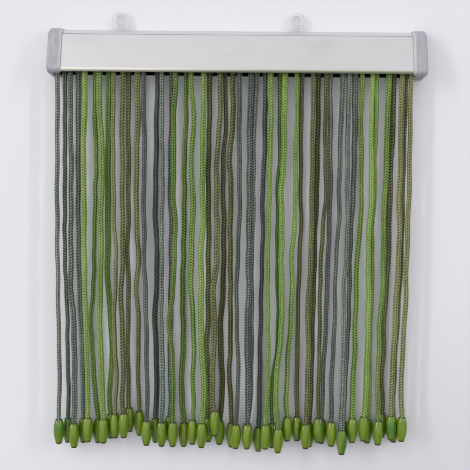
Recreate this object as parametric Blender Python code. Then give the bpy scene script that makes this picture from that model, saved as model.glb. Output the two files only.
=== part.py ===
"""Fly screen curtain, 300 mm wide: braided cords in blocks of slate, bright green and olive hang from
a tape inside an aluminium rail, and each ends in a lacquered wooden bead. The rail has a grey cap at
each end and two clear tabs, which stand up through its top and hang it on the wall.

Metres, +Z up. The front faces -Y, and the wall is the plane Y = 0. The origin is the centre of the
rail's flat back face.
"""

import math

import bmesh
import bpy
from mathutils import Vector

MM = 0.001
CLEARANCE = 0.3 * MM  # between pieces that touch on the real curtain

# Overall
CURTAIN_WIDTH = 300 * MM  # over the caps

# Rail
RAIL_LENGTH = 295.2 * MM
RAIL_HEIGHT = 35.6 * MM
RAIL_WALL = 1.3 * MM
RAIL_TOP_DEPTH = 4.5 * MM  # the flat top, out from the wall
SHOULDER_DEPTH = 11.0 * MM  # at the foot of the sloping shoulder
SHOULDER_DROP = 4.6 * MM  # from the top to that foot
TOP_EDGE_RADIUS = 1.2 * MM
SHOULDER_RADIUS = 0.8 * MM
FACE_DEPTH = 19.0 * MM  # where the leaning face would meet its lip
LIP_RISE = 1.4 * MM  # the lip's underside, above the back leg's lower edge
LIP_END_DEPTH = 15.2 * MM
ROLL_RADIUS = 2.2 * MM
LEDGE_TOP = -9.0 * MM
LEDGE_THICKNESS = 1.2 * MM
SLIT_BACK_DEPTH = 5.0 * MM  # the slit between the two inner ledges
SLIT_FRONT_DEPTH = 13.5 * MM

# End caps
CAP_WIDTH = 11.0 * MM
CAP_PLATE = 2.1 * MM
CAP_SKIRT = 0.9 * MM
CAP_CORNER = 1.2 * MM
CAP_NOTCHES = {"left": 7.0 * MM, "right": 2.1 * MM}  # in the underside, for the outermost cords

# Hanging tabs
TAB_CENTRES = {"left": -93.6 * MM, "right": 47.8 * MM}
TAB_WIDTH = 13.4 * MM
TAB_THICKNESS = 1.8 * MM
TAB_TOP = 32.6 * MM
TAB_HOLE_DIAMETER = 6.6 * MM
TAB_FOOT_WIDTH = 19.0 * MM
TAB_FOOT_HEIGHT = 8.0 * MM
TAB_SLIT_SETBACK = 0.1 * MM  # from the back leg's inner face to the slit that the tab stands in

# Tape that holds the cords
TAPE_LEFT = -146.2 * MM
TAPE_RIGHT = 141.8 * MM
TAPE_BACK_DEPTH = 3.4 * MM
TAPE_FRONT_DEPTH = 14.5 * MM
TAPE_THICKNESS = 2.6 * MM

# Cords
CORD_WIDTH = 4.1 * MM  # with the depth, a section as heavy as the round braid of 4.4 mm
CORD_DEPTH = 3.6 * MM
CORD_END_SIDE = 2.3 * MM  # drawn through the bead
CORD_ROOT = 1.5 * MM  # the length that is fused into the tape
CORD_STEPS = 12
NECK_LENGTH = 1.6 * MM
BACK_ROW = 7.2 * MM
FRONT_ROW = 11.3 * MM
COLOUR_NAMES = ("cord_slate", "cord_green", "cord_olive")
CORDS_A_BLOCK = 4
STATIONS = (29 * MM, 110 * MM, 165 * MM, 219 * MM, 262 * MM)  # down from the origin

# Beads
BEAD_LENGTH = 20.4 * MM
BEAD_RADIUS = 4.35 * MM
BEAD_END_RADIUS = 2.9 * MM
BEAD_SHOULDER_RADIUS = 3.95 * MM
BEAD_SHOULDER = 0.18  # of the length, from each end
BEAD_BORE_RADIUS = 2.05 * MM
BEAD_SIDES = 10
BEAD_FOOT = 2.4 * MM  # from the cord's end to the bead's lower end

# One row for each cord, from left to right, in millimetres. The first five columns are how far the
# cord lies to the right of the origin at each of STATIONS. Then come its bead: how far right, how
# far its lower end is under the origin, and its axis's depth out from the wall. The last is the row
# in which the cord leaves the tape.
CORDS = (
    # 29     110     165     219     262     bead    end  depth  row
    (-143.0, -144.0, -144.0, -143.5, -143.0, -144.0, 320, 13.5, FRONT_ROW),
    (-138.0, -139.0, -139.5, -138.0, -138.0, -138.5, 322, 5.0, BACK_ROW),
    (-132.0, -132.5, -133.0, -131.0, -130.5, -131.5, 323, 14.0, FRONT_ROW),
    (-127.0, -128.0, -128.0, -126.5, -126.0, -125.5, 322, 5.0, BACK_ROW),
    (-120.5, -122.0, -122.0, -121.0, -120.0, -120.0, 318, 14.0, FRONT_ROW),
    (-113.5, -114.0, -116.0, -118.0, -115.5, -113.0, 322, 5.0, BACK_ROW),
    (-109.5, -108.5, -109.0, -109.5, -108.5, -107.0, 319, 14.0, FRONT_ROW),
    (-102.5, -104.0, -104.5, -102.5, -103.0, -102.5, 318, 5.0, BACK_ROW),
    (-97.5, -97.5, -96.5, -99.0, -97.5, -97.5, 315, 12.5, FRONT_ROW),
    (-91.0, -91.0, -91.5, -91.0, -91.0, -89.5, 313, 17.0, FRONT_ROW),
    (-85.5, -86.0, -86.5, -86.5, -86.5, -87.0, 312, 5.5, BACK_ROW),
    (-79.0, -80.0, -79.5, -79.0, -78.5, -78.0, 314, 8.0, FRONT_ROW),
    (-74.0, -73.5, -73.5, -73.0, -71.5, -71.5, 320, 14.5, FRONT_ROW),
    (-64.5, -65.5, -64.0, -65.5, -64.0, -65.0, 321, 5.0, BACK_ROW),
    (-59.0, -59.5, -58.5, -59.0, -58.0, -59.0, 321, 14.0, FRONT_ROW),
    (-52.5, -53.0, -53.0, -53.5, -54.5, -53.0, 319, 5.0, BACK_ROW),
    (-48.5, -48.5, -48.5, -52.0, -49.5, -49.5, 321, 14.0, FRONT_ROW),
    (-40.5, -42.0, -42.0, -42.0, -42.5, -41.0, 324, 5.5, BACK_ROW),
    (-36.0, -35.0, -36.0, -34.5, -34.0, -33.5, 320, 10.5, FRONT_ROW),
    (-26.5, -26.0, -27.0, -27.0, -25.0, -25.5, 321, 15.0, FRONT_ROW),
    (-21.5, -21.5, -21.5, -21.5, -21.5, -21.0, 320, 5.0, BACK_ROW),
    (-15.0, -15.0, -15.5, -16.0, -16.0, -15.0, 311, 14.5, FRONT_ROW),
    (-11.0, -9.5, -10.0, -10.5, -10.0, -11.0, 322, 5.0, BACK_ROW),
    (-2.0, -4.0, -3.5, -3.0, -3.5, -1.5, 324, 5.0, BACK_ROW),
    (2.5, 3.0, 2.5, 2.5, 3.5, 2.5, 322, 14.0, FRONT_ROW),
    (10.0, 10.5, 10.5, 10.5, 11.5, 12.0, 322, 14.0, FRONT_ROW),
    (14.0, 14.5, 15.0, 14.5, 14.5, 12.0, 324, 5.0, BACK_ROW),
    (22.5, 21.5, 22.0, 22.0, 21.5, 21.5, 327, 6.0, BACK_ROW),
    (27.0, 27.0, 27.0, 28.0, 28.5, 27.0, 322, 13.5, FRONT_ROW),
    (35.0, 36.0, 34.0, 35.0, 33.5, 33.0, 324, 5.0, BACK_ROW),
    (39.0, 38.5, 37.5, 39.0, 36.0, 37.5, 325, 14.0, FRONT_ROW),
    (47.0, 46.5, 46.5, 45.5, 44.5, 45.0, 317, 8.5, FRONT_ROW),
    (52.5, 53.5, 53.0, 52.5, 52.5, 53.5, 318, 5.0, BACK_ROW),
    (59.5, 60.0, 60.0, 59.5, 60.0, 60.0, 321, 14.0, FRONT_ROW),
    (64.0, 65.0, 65.0, 64.5, 64.5, 63.5, 323, 5.0, BACK_ROW),
    (71.0, 72.0, 70.0, 69.5, 69.0, 70.5, 316, 13.5, FRONT_ROW),
    (75.5, 76.5, 76.5, 76.0, 75.0, 74.0, 320, 5.0, BACK_ROW),
    (84.5, 83.5, 81.0, 82.0, 80.5, 81.0, 319, 13.0, FRONT_ROW),
    (89.0, 90.0, 90.0, 90.5, 90.0, 89.5, 325, 15.5, FRONT_ROW),
    (95.5, 95.5, 93.5, 93.5, 94.0, 92.0, 322, 5.5, BACK_ROW),
    (99.5, 101.0, 99.0, 98.5, 98.0, 98.5, 316, 12.0, FRONT_ROW),
    (108.0, 107.5, 108.0, 108.0, 108.5, 107.5, 314, 13.5, FRONT_ROW),
    (113.0, 113.0, 112.5, 112.5, 112.5, 112.5, 319, 5.0, BACK_ROW),
    (120.0, 119.5, 119.5, 117.0, 117.0, 119.5, 317, 14.0, FRONT_ROW),
    (125.5, 125.0, 125.5, 123.5, 123.0, 124.0, 314, 5.0, BACK_ROW),
    (131.0, 132.0, 132.5, 131.0, 130.0, 130.0, 313, 13.0, FRONT_ROW),
    (134.5, 135.5, 136.0, 134.5, 134.0, 134.0, 318, 4.8, BACK_ROW),
    (138.5, 139.5, 139.0, 138.5, 137.5, 139.0, 314, 13.5, FRONT_ROW),
)


def clear_scene():
    for obj in list(bpy.data.objects):
        bpy.data.objects.remove(obj, do_unlink=True)


def make_material(name, colour, roughness, metallic=0.0, alpha=1.0):
    material = bpy.data.materials.new(name)
    material.use_nodes = True
    shader = material.node_tree.nodes["Principled BSDF"]
    shader.inputs["Base Color"].default_value = (*colour, 1.0)
    shader.inputs["Roughness"].default_value = roughness
    shader.inputs["Metallic"].default_value = metallic
    shader.inputs["Alpha"].default_value = alpha
    material.diffuse_color = (*colour, alpha)
    return material


def make_materials():
    return {
        "aluminium": make_material("aluminium", (0.78, 0.78, 0.77), 0.35, metallic=1.0),
        "cap_plastic": make_material("cap_plastic", (0.40, 0.41, 0.44), 0.5),
        "clear_plastic": make_material("clear_plastic", (0.80, 0.80, 0.80), 0.15, alpha=0.45),
        "cord_slate": make_material("cord_slate", (0.075, 0.105, 0.105), 0.85),
        "cord_green": make_material("cord_green", (0.19, 0.34, 0.05), 0.85),
        "cord_olive": make_material("cord_olive", (0.13, 0.13, 0.045), 0.85),
        "bead_wood": make_material("bead_wood", (0.18, 0.29, 0.03), 0.2),
    }


def finish_mesh(bm, name, materials, smooth_angle=None):
    """Turns a bmesh into a named object with its materials."""
    bmesh.ops.recalc_face_normals(bm, faces=bm.faces)
    mesh = bpy.data.meshes.new(name)
    bm.to_mesh(mesh)
    bm.free()
    for material in materials:
        mesh.materials.append(material)
    if smooth_angle:
        mesh.shade_smooth()
        mesh.set_sharp_from_angle(angle=math.radians(smooth_angle))
    obj = bpy.data.objects.new(name, mesh)
    bpy.context.scene.collection.objects.link(obj)
    return obj


def box_mesh(bm, low, high):
    """Adds a box between two corners and returns its vertices."""
    low = Vector(low)
    high = Vector(high)
    made = bmesh.ops.create_cube(bm, size=1.0)["verts"]
    bmesh.ops.scale(bm, vec=high - low, verts=made)
    bmesh.ops.translate(bm, vec=(low + high) / 2, verts=made)
    return made


def box_cutter(name, low, high):
    bm = bmesh.new()
    box_mesh(bm, low, high)
    return as_cutter(finish_mesh(bm, name, []))


def as_cutter(obj):
    obj.hide_render = True
    obj.display_type = "WIRE"
    return obj


def boolean(target, other, operation):
    modifier = target.modifiers.new(other.name, "BOOLEAN")
    modifier.operation = operation
    modifier.solver = "EXACT"
    modifier.object = other
    return modifier


def rounded(corners, steps=4):
    """Points of an outline whose corners, rows of (across, up, radius), are rounded by arcs."""
    points = []
    for index, (across, up, radius) in enumerate(corners):
        here = Vector((across, up))
        if radius == 0:
            points.append(here)
            continue
        before = (Vector(corners[index - 1][:2]) - here).normalized()
        after = (Vector(corners[(index + 1) % len(corners)][:2]) - here).normalized()
        half = before.angle(after) / 2
        centre = here + (before + after).normalized() * (radius / math.sin(half))
        start = here + before * (radius / math.tan(half)) - centre
        end = here + after * (radius / math.tan(half)) - centre
        for step in range(steps + 1):
            share = step / steps
            spoke = start.lerp(end, share).normalized() * radius
            points.append(centre + spoke)
    return points


def extruded(bm, outline, start, end):
    """Extrudes an outline of (depth, height) points along X. Depth is out from the wall, so -Y."""
    ring = [bm.verts.new((start, -depth, height)) for depth, height in outline]
    face = bm.faces.new(ring)
    grown = bmesh.ops.extrude_face_region(bm, geom=[face])["geom"]
    moved = [item for item in grown if isinstance(item, bmesh.types.BMVert)]
    bmesh.ops.translate(bm, vec=(end - start, 0, 0), verts=moved)


def offset_corners(corners, distance):
    """The same corners with every side moved out by a distance. The outline runs clockwise."""
    moved = []
    count = len(corners)
    for index, (across, up, radius) in enumerate(corners):
        here = Vector((across, up))
        incoming = (here - Vector(corners[index - 1][:2])).normalized()
        outgoing = (Vector(corners[(index + 1) % count][:2]) - here).normalized()
        first = Vector((-incoming.y, incoming.x))
        second = Vector((-outgoing.y, outgoing.x))
        bisector = (first + second).normalized()
        corner = here + bisector * (distance / bisector.dot(first))
        moved.append((corner.x, corner.y, max(radius + distance, 0) if radius else 0))
    return moved


RAIL_TOP = RAIL_HEIGHT / 2
LIP_UNDERSIDE = -RAIL_TOP + LIP_RISE


def rail_envelope():
    """Corners of the rail's closed outer shape, clockwise from the lower edge of its back."""
    return [
        (0.0, -RAIL_TOP, 0),
        (0.0, RAIL_TOP, 0),
        (RAIL_TOP_DEPTH, RAIL_TOP, TOP_EDGE_RADIUS),
        (SHOULDER_DEPTH, RAIL_TOP - SHOULDER_DROP, SHOULDER_RADIUS),
        (FACE_DEPTH, LIP_UNDERSIDE, ROLL_RADIUS),
    ]


def make_rail(materials):
    envelope = rail_envelope()
    hollow = offset_corners(envelope, -RAIL_WALL)
    outer = rounded(envelope)
    inner = rounded(hollow)
    # The wall's section is open below, between the back leg and the lip.
    lip_end = Vector((LIP_END_DEPTH, LIP_UNDERSIDE))
    lip_end_inner = Vector((LIP_END_DEPTH, LIP_UNDERSIDE + RAIL_WALL))
    back_foot_inner = Vector((RAIL_WALL, -RAIL_TOP))
    outline = outer + [lip_end, lip_end_inner] + inner[:0:-1] + [back_foot_inner]
    bm = bmesh.new()
    extruded(bm, outline, -RAIL_LENGTH / 2, RAIL_LENGTH / 2)
    rail = finish_mesh(bm, "rail", [materials["aluminium"]], smooth_angle=30)

    ledge_low = LEDGE_TOP - LEDGE_THICKNESS
    wall_bite = RAIL_WALL / 2
    front_wall = face_depth_at(LEDGE_TOP - LEDGE_THICKNESS / 2)
    half = RAIL_LENGTH / 2
    back_ledge = box_cutter("back_ledge", (-half, -SLIT_BACK_DEPTH, ledge_low), (half, -wall_bite, LEDGE_TOP))
    front_ledge = box_cutter(
        "front_ledge",
        (-half, -front_wall + wall_bite, ledge_low),
        (half, -SLIT_FRONT_DEPTH, LEDGE_TOP),
    )
    boolean(rail, back_ledge, "UNION")
    boolean(rail, front_ledge, "UNION")

    slit_length = TAB_WIDTH + 2 * CLEARANCE
    for side, centre in TAB_CENTRES.items():
        slit = box_cutter(
            f"tab_slit_{side}",
            (centre - slit_length / 2, -tab_front() - CLEARANCE, RAIL_TOP - 2 * RAIL_WALL),
            (centre + slit_length / 2, -RAIL_WALL - TAB_SLIT_SETBACK, RAIL_TOP + RAIL_WALL),
        )
        boolean(rail, slit, "DIFFERENCE")
    return rail


def face_depth_at(height):
    """How far the leaning face stands out from the wall at a height."""
    face_top = RAIL_TOP - SHOULDER_DROP
    share = (face_top - height) / (face_top - LIP_UNDERSIDE)
    return SHOULDER_DEPTH + (FACE_DEPTH - SHOULDER_DEPTH) * share


def tab_front():
    """The tab's front face, out from the wall, behind the rail's shoulder."""
    return RAIL_WALL + TAB_SLIT_SETBACK + CLEARANCE + TAB_THICKNESS


def make_cap(side, materials):
    sign = -1 if side == "left" else 1
    outer_end = sign * CURTAIN_WIDTH / 2
    mouth = outer_end - sign * CAP_WIDTH
    plate = outer_end - sign * CAP_PLATE
    envelope = rail_envelope()
    pocket = offset_corners(envelope, CLEARANCE)
    shell = offset_corners(envelope, CLEARANCE + CAP_SKIRT)
    # The back is open and flush with the rail's, and the underside runs straight to it.
    shell[0] = (0.0, shell[0][1], 0)
    shell[1] = (0.0, shell[1][1], 0)
    open_back = -RAIL_WALL
    pocket[0] = (open_back, pocket[0][1], 0)
    pocket[1] = (open_back, pocket[1][1], 0)

    bm = bmesh.new()
    extruded(bm, rounded(shell), outer_end, mouth)
    rim = [edge for edge in bm.edges if all(abs(v.co.x - outer_end) < MM / 100 for v in edge.verts)]
    on_back = [edge for edge in rim if all(abs(v.co.y) < MM / 100 for v in edge.verts)]
    rim = [edge for edge in rim if edge not in on_back]
    bmesh.ops.bevel(bm, geom=rim, offset=CAP_CORNER, segments=2, profile=0.5, affect="EDGES")
    cap = finish_mesh(bm, f"cap_{side}", [materials["cap_plastic"]], smooth_angle=35)

    bm = bmesh.new()
    extruded(bm, rounded(pocket), plate, mouth - sign * CAP_WIDTH)
    hollow = as_cutter(finish_mesh(bm, f"cap_hollow_{side}", []))
    boolean(cap, hollow, "DIFFERENCE")
    notch_ends = sorted((mouth + sign * CAP_NOTCHES[side], mouth - sign * CAP_WIDTH))
    notch = box_cutter(
        f"cap_notch_{side}",
        (notch_ends[0], -LIP_END_DEPTH, -RAIL_HEIGHT),
        (notch_ends[1], -RAIL_WALL, LIP_UNDERSIDE + RAIL_WALL),
    )
    boolean(cap, notch, "DIFFERENCE")
    return cap


def make_tab(side, materials):
    """A clear tab: a round-topped ear with a hole, on a wide foot that bears on the rail from inside."""
    centre = TAB_CENTRES[side]
    back = tab_front() - TAB_THICKNESS
    foot_top = RAIL_TOP - RAIL_WALL - CLEARANCE
    foot_low = foot_top - TAB_FOOT_HEIGHT
    ear_half = TAB_WIDTH / 2
    foot_half = TAB_FOOT_WIDTH / 2
    hole_height = TAB_TOP - ear_half
    arc_steps = 14
    outline = [(-foot_half, foot_low), (-foot_half, foot_top), (-ear_half, foot_top)]
    for step in range(arc_steps + 1):
        turn = math.pi * (1 - step / arc_steps)
        outline.append((ear_half * math.cos(turn), hole_height + ear_half * math.sin(turn)))
    outline += [(ear_half, foot_top), (foot_half, foot_top), (foot_half, foot_low)]
    bm = bmesh.new()
    face = bm.faces.new([bm.verts.new((centre + across, -back, up)) for across, up in outline])
    grown = bmesh.ops.extrude_face_region(bm, geom=[face])["geom"]
    moved = [item for item in grown if isinstance(item, bmesh.types.BMVert)]
    bmesh.ops.translate(bm, vec=(0, -TAB_THICKNESS, 0), verts=moved)
    tab = finish_mesh(bm, f"tab_{side}", [materials["clear_plastic"]], smooth_angle=30)

    bpy.ops.mesh.primitive_cylinder_add(
        vertices=20,
        radius=TAB_HOLE_DIAMETER / 2,
        depth=4 * TAB_THICKNESS,
        location=(centre, -back - TAB_THICKNESS / 2, hole_height),
        rotation=(math.pi / 2, 0, 0),
    )
    drill = as_cutter(bpy.context.object)
    drill.name = f"tab_drill_{side}"
    boolean(tab, drill, "DIFFERENCE")
    return tab


def curve_value(knots, values, at):
    """A smooth curve through values at rising knots, read at one place."""
    last = len(knots) - 1
    at = min(max(at, knots[0]), knots[last])
    index = max(i for i in range(last) if knots[i] <= at)
    before = max(index - 1, 0)
    after = min(index + 2, last)
    span = knots[index + 1] - knots[index]
    share = (at - knots[index]) / span
    slope_in = (values[index + 1] - values[before]) / (knots[index + 1] - knots[before]) * span
    slope_out = (values[after] - values[index]) / (knots[after] - knots[index]) * span
    squared = share * share
    cubed = squared * share
    return (
        (2 * cubed - 3 * squared + 1) * values[index]
        + (cubed - 2 * squared + share) * slope_in
        + (3 * squared - 2 * cubed) * values[index + 1]
        + (cubed - squared) * slope_out
    )


def tape_underside():
    return LEDGE_TOP + CLEARANCE


class Cord:
    """One row of CORDS in metres, with the route that the cord follows."""

    def __init__(self, row):
        places = [value * MM for value in row[:5]]
        self.bead_x = row[5] * MM
        self.bead_low = -row[6] * MM
        self.bead_depth = row[7] * MM
        self.row_depth = row[8]
        self.bead_top = self.bead_low + BEAD_LENGTH
        root = -tape_underside()
        self.knots = [root - CORD_ROOT, *STATIONS, -self.bead_top, -self.bead_low]
        self.places = [places[0], *places, self.bead_x, self.bead_x]

    def point(self, height):
        down = -height
        across = curve_value(self.knots, self.places, down)
        start = STATIONS[0]
        fall = min(max((down - start) / (-self.bead_top - start), 0), 1)
        ease = fall * fall * (3 - 2 * fall)
        depth = self.row_depth + (self.bead_depth - self.row_depth) * ease
        return Vector((across, -depth, height))


def add_cord(bm, cord, material_index):
    """A four-sided cord, from its root in the tape down through its bead."""
    root = tape_underside() + CORD_ROOT
    shoulder = cord.bead_top + NECK_LENGTH
    full = Vector((CORD_WIDTH, CORD_DEPTH, 0)) / 2
    drawn = Vector((CORD_END_SIDE, CORD_END_SIDE, 0)) / 2
    rings = []
    for step in range(CORD_STEPS + 1):
        height = root + (shoulder - root) * step / CORD_STEPS
        rings.append((cord.point(height), full))
    neck = Vector((cord.bead_x, -cord.bead_depth, cord.bead_top + CLEARANCE))
    end = Vector((cord.bead_x, -cord.bead_depth, cord.bead_low + BEAD_FOOT))
    rings += [(neck, drawn), (end, drawn)]

    corners = [Vector(signs) for signs in ((-1, -1, 0), (1, -1, 0), (1, 1, 0), (-1, 1, 0))]
    loops = [[bm.verts.new(centre + corner * half) for corner in corners] for centre, half in rings]
    faces = [bm.faces.new(loops[0]), bm.faces.new(loops[-1])]
    for upper, lower in zip(loops, loops[1:]):
        for side in range(len(corners)):
            after = (side + 1) % len(corners)
            faces.append(bm.faces.new((upper[side], upper[after], lower[after], lower[side])))
    for face in faces:
        face.material_index = material_index


def make_cords(materials):
    """The tape with every cord fused to it, as one piece."""
    colours = [materials[name] for name in COLOUR_NAMES]
    bm = bmesh.new()
    low = (TAPE_LEFT, -TAPE_FRONT_DEPTH, tape_underside())
    high = (TAPE_RIGHT, -TAPE_BACK_DEPTH, tape_underside() + TAPE_THICKNESS)
    box_mesh(bm, low, high)
    cords = finish_mesh(bm, "cords", colours)

    bm = bmesh.new()
    for index, row in enumerate(CORDS):
        add_cord(bm, Cord(row), index // CORDS_A_BLOCK % len(COLOUR_NAMES))
    strands = as_cutter(finish_mesh(bm, "strands", colours))
    modifier = boolean(cords, strands, "UNION")
    modifier.material_mode = "TRANSFER"
    return cords


def bead_profile():
    """Half of the bead's section, as (radius, height) from its lower end, round to its bore."""
    shoulder = BEAD_SHOULDER * BEAD_LENGTH
    return (
        (BEAD_END_RADIUS, 0.0),
        (BEAD_SHOULDER_RADIUS, shoulder),
        (BEAD_RADIUS, BEAD_LENGTH / 2),
        (BEAD_SHOULDER_RADIUS, BEAD_LENGTH - shoulder),
        (BEAD_END_RADIUS, BEAD_LENGTH),
        (BEAD_BORE_RADIUS, BEAD_LENGTH),
        (BEAD_BORE_RADIUS, 0.0),
    )


def make_bead(number, cord, materials):
    bm = bmesh.new()
    verts = [bm.verts.new((radius, 0, height)) for radius, height in bead_profile()]
    count = len(verts)
    edges = [bm.edges.new((verts[i], verts[(i + 1) % count])) for i in range(count)]
    bmesh.ops.spin(
        bm,
        geom=verts + edges,
        cent=(0, 0, 0),
        axis=(0, 0, 1),
        angle=2 * math.pi,
        steps=BEAD_SIDES,
        use_merge=True,
    )
    bmesh.ops.remove_doubles(bm, verts=bm.verts, dist=MM / 100)
    bead = finish_mesh(bm, f"bead_{number:02d}", [materials["bead_wood"]], smooth_angle=60)
    bead.location = (cord.bead_x, -cord.bead_depth, cord.bead_low)
    return bead


def main():
    clear_scene()
    materials = make_materials()
    make_rail(materials)
    for side in ("left", "right"):
        make_cap(side, materials)
        make_tab(side, materials)
    make_cords(materials)
    for number, row in enumerate(CORDS, start=1):
        make_bead(number, Cord(row), materials)


if __name__ == "__main__":
    main()
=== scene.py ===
"""The looks of a fly screen curtain: knitted cords in slate, bright green and olive with lacquered
wooden beads, hung from an aluminium rail with grey end caps and clear tabs.

Metres, +Z up, in the frame of the solids: the front faces -Y and the rail's back lies in Y = 0.
"""

import math
import random

import bmesh
import bpy
from mathutils import Matrix, Vector


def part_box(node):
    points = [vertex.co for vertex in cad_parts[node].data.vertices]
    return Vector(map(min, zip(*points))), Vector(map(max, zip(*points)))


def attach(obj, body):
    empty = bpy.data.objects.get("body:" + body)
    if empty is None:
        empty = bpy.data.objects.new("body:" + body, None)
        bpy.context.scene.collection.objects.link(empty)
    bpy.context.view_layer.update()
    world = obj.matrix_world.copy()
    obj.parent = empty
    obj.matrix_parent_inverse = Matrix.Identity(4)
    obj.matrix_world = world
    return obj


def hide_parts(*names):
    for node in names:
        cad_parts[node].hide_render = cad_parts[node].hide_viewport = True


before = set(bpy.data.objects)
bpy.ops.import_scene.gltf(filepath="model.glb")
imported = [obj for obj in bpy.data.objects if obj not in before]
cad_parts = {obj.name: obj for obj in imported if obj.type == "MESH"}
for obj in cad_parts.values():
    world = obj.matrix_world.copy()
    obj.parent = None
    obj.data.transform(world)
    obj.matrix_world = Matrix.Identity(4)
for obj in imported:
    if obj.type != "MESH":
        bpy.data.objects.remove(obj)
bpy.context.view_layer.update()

MM = 0.001
WELD = MM / 1000  # points nearer than this are one
NEAR = MM / 100  # places nearer than this count as the same

# Camera, fitted to the photograph's rail, tabs and cords
FRAME_PIXELS = 470
FOCAL_PIXELS = 700
CAMERA_PLACE = Vector((6.8, -576.4, -99.5)) * MM
CAMERA_PITCH = math.radians(4.64)  # down
CAMERA_YAW = math.radians(-0.68)
CAMERA_ROLL = math.radians(0.61)

# Stage and light
BACKDROP_PLACE = (0, 0.5 * MM, 0.1)
BACKDROP_SIZE = (2.4, 1.2, 1)
FLOOR_PLACE = (0, 0, -0.5)
FLOOR_SIZE = 6
BRIGHT_SKY = Vector((-0.35, -0.93, 0.08))
LAMPS_AIM = Vector((0, 0, -0.15))
LAMPS = (
    # name, place, width and height, watts
    ("left_window", (-1.5, -1.05, 0.42), (0.13, 1.3), 9),
    ("right_window", (1.55, -0.95, 0.42), (0.13, 1.3), 7.5),
    ("back_fill", (0.5, 2.0, 0.5), (1.2, 1.2), 6),
)

# Rail
RAIL_LOW, RAIL_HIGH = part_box("rail")
RAIL_LENGTH = RAIL_HIGH.x - RAIL_LOW.x
RAIL_TOP = RAIL_HIGH.z
RAIL_FOOT = RAIL_LOW.z
RAIL_WALL = 1.3 * MM
RAIL_TOP_DEPTH = 4.5 * MM
SHOULDER_DEPTH = 11.0 * MM
SHOULDER_DROP = 3.9 * MM
FACE_DEPTH = 19.0 * MM
LIP_UNDERSIDE = RAIL_FOOT + 1.4 * MM
LIP_END_DEPTH = 15.2 * MM
ROLL_RADIUS = 2.2 * MM
TOP_EDGE_RADIUS = 1.2 * MM
SHOULDER_RADIUS = 0.3 * MM
GROOVE_DROP = 0.2 * MM  # from the shoulder's foot down to the groove
GROOVE_WIDTH = 0.5 * MM
GROOVE_DEPTH = 0.24 * MM
GROOVE_BLUR = 0.1 * MM
GROOVE_SHADE_SPAN = (-85 * MM, -125 * MM)  # from where the groove has no painted shade to where it is painted darker
EDGE_HIGHLIGHT_SPAN = (40 * MM, -100 * MM)  # from where the lower edge has only a dim painted reflection to where it has a bright painted highlight
OUTER_ARC_STEPS = 8
INNER_ARC_STEPS = 6
FACE_TOP = RAIL_TOP - SHOULDER_DROP
FACE_LEAN = (FACE_DEPTH - SHOULDER_DEPTH) / (FACE_TOP - LIP_UNDERSIDE)
GROOVE_TOP = FACE_TOP - GROOVE_DROP
GROOVE_LOW = GROOVE_TOP - GROOVE_WIDTH
LEDGE_TOP = -9.0 * MM
LEDGE_THICKNESS = 1.2 * MM
SLIT_BACK_DEPTH = 5.0 * MM
SLIT_FRONT_DEPTH = 13.5 * MM

# End caps
CAP_CLEARANCE = 0.3 * MM
CAP_WIDTH = 11.0 * MM
CAP_PLATE = 2.1 * MM
CAP_SKIRT = 0.9 * MM
CAP_RIM = 2.3 * MM  # width of the chamfer round the mouth
CAP_RIM_DROP = 0.75 * MM
CAP_CORNER = 1.5 * MM
CAP_CORNER_STEPS = 5
CAP_NOTCHES = {"left": 7.0 * MM, "right": 2.1 * MM}

# Hanging tabs
TAB_WIDTH = 13.4 * MM
TAB_HOLE_RADIUS = 3.3 * MM
TAB_FOOT_WIDTH = 19.0 * MM
TAB_FOOT_HEIGHT = 8.0 * MM
TAB_RING_RADIUS = 4.7 * MM
TAB_RING_THICKNESS = 0.75 * MM
TAB_EDGE = 0.3 * MM
TAB_ARC_STEPS = 32
TAB_HOLE_STEPS = 40
TAB_SLIT_SETBACK = 0.1 * MM  # from the rail's back leg to the slit that the tab stands in

# Tape inside the rail
TAPE_LEFT = -146.2 * MM
TAPE_RIGHT = 141.8 * MM
TAPE_BACK_DEPTH = 3.4 * MM
TAPE_FRONT_DEPTH = 14.5 * MM
TAPE_THICKNESS = 2.6 * MM
TAPE_EDGE = 0.8 * MM
TAPE_UNDERSIDE = LEDGE_TOP + 0.3 * MM

# Cords
CORD_RADIUS = 2.15 * MM
CORD_WIDTHS = (1.15, 0.87)  # of the radius, since the cord is a little flat
KNIT_PITCH = {"slate": 2.2 * MM, "green": 2.2 * MM, "olive": 2.35 * MM}
KNIT_COLUMNS = 6  # legs round the cord, leaning left and right in turn
LEG_POINTS = 3  # points round the cord for each leg
KNIT_LEAN = 1.75 * MM  # how far a leg climbs across its column
KNIT_RINGS = (0.0, 0.3, 0.7, 1.0)  # of the pitch
CREST = (0.9, 1.0, 0.98)  # of the radius, where legs meet, on a leg that climbs and on one that drops
VALLEY = (0.72, 0.82, 0.82)
CORD_ROOT = 1.5 * MM
ROUTE_POINTS = 26
WAVER_LENGTHS = (26, 46)  # shortest and longest, in millimetres
WAVER_ACROSS = 0.28 * MM
WAVER_DEPTH = 0.2 * MM
WAVER_STRETCH = 1.37  # how much longer the waver is in depth
TWIST_DRIFT = 2.5  # radians from end to end, at most
NECK_LENGTH = 3.0 * MM
NECK_SCALE = 0.86
BACK_ROW = 7.2 * MM
FRONT_ROW = 11.3 * MM
YARNS = {
    # painted shade between the legs, the yarn's colour on the legs, painted highlight on their crests
    "slate": ((0.008, 0.014, 0.011, 1), (0.104, 0.132, 0.102, 1), (0.38, 0.44, 0.37, 1)),
    "green": ((0.019, 0.047, 0.003, 1), (0.17, 0.285, 0.043, 1), (0.36, 0.48, 0.17, 1)),
    "olive": ((0.014, 0.015, 0.003, 1), (0.12, 0.125, 0.037, 1), (0.34, 0.35, 0.17, 1)),
}
COLOUR_NAMES = tuple(YARNS)
CORDS_A_BLOCK = 4
SIDE_LIGHT_SPAN = (40 * MM, 120 * MM)  # from the middle, from where the yarn has painted shade to where it has painted light
STATIONS = (29 * MM, 110 * MM, 165 * MM, 219 * MM, 262 * MM)
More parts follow.
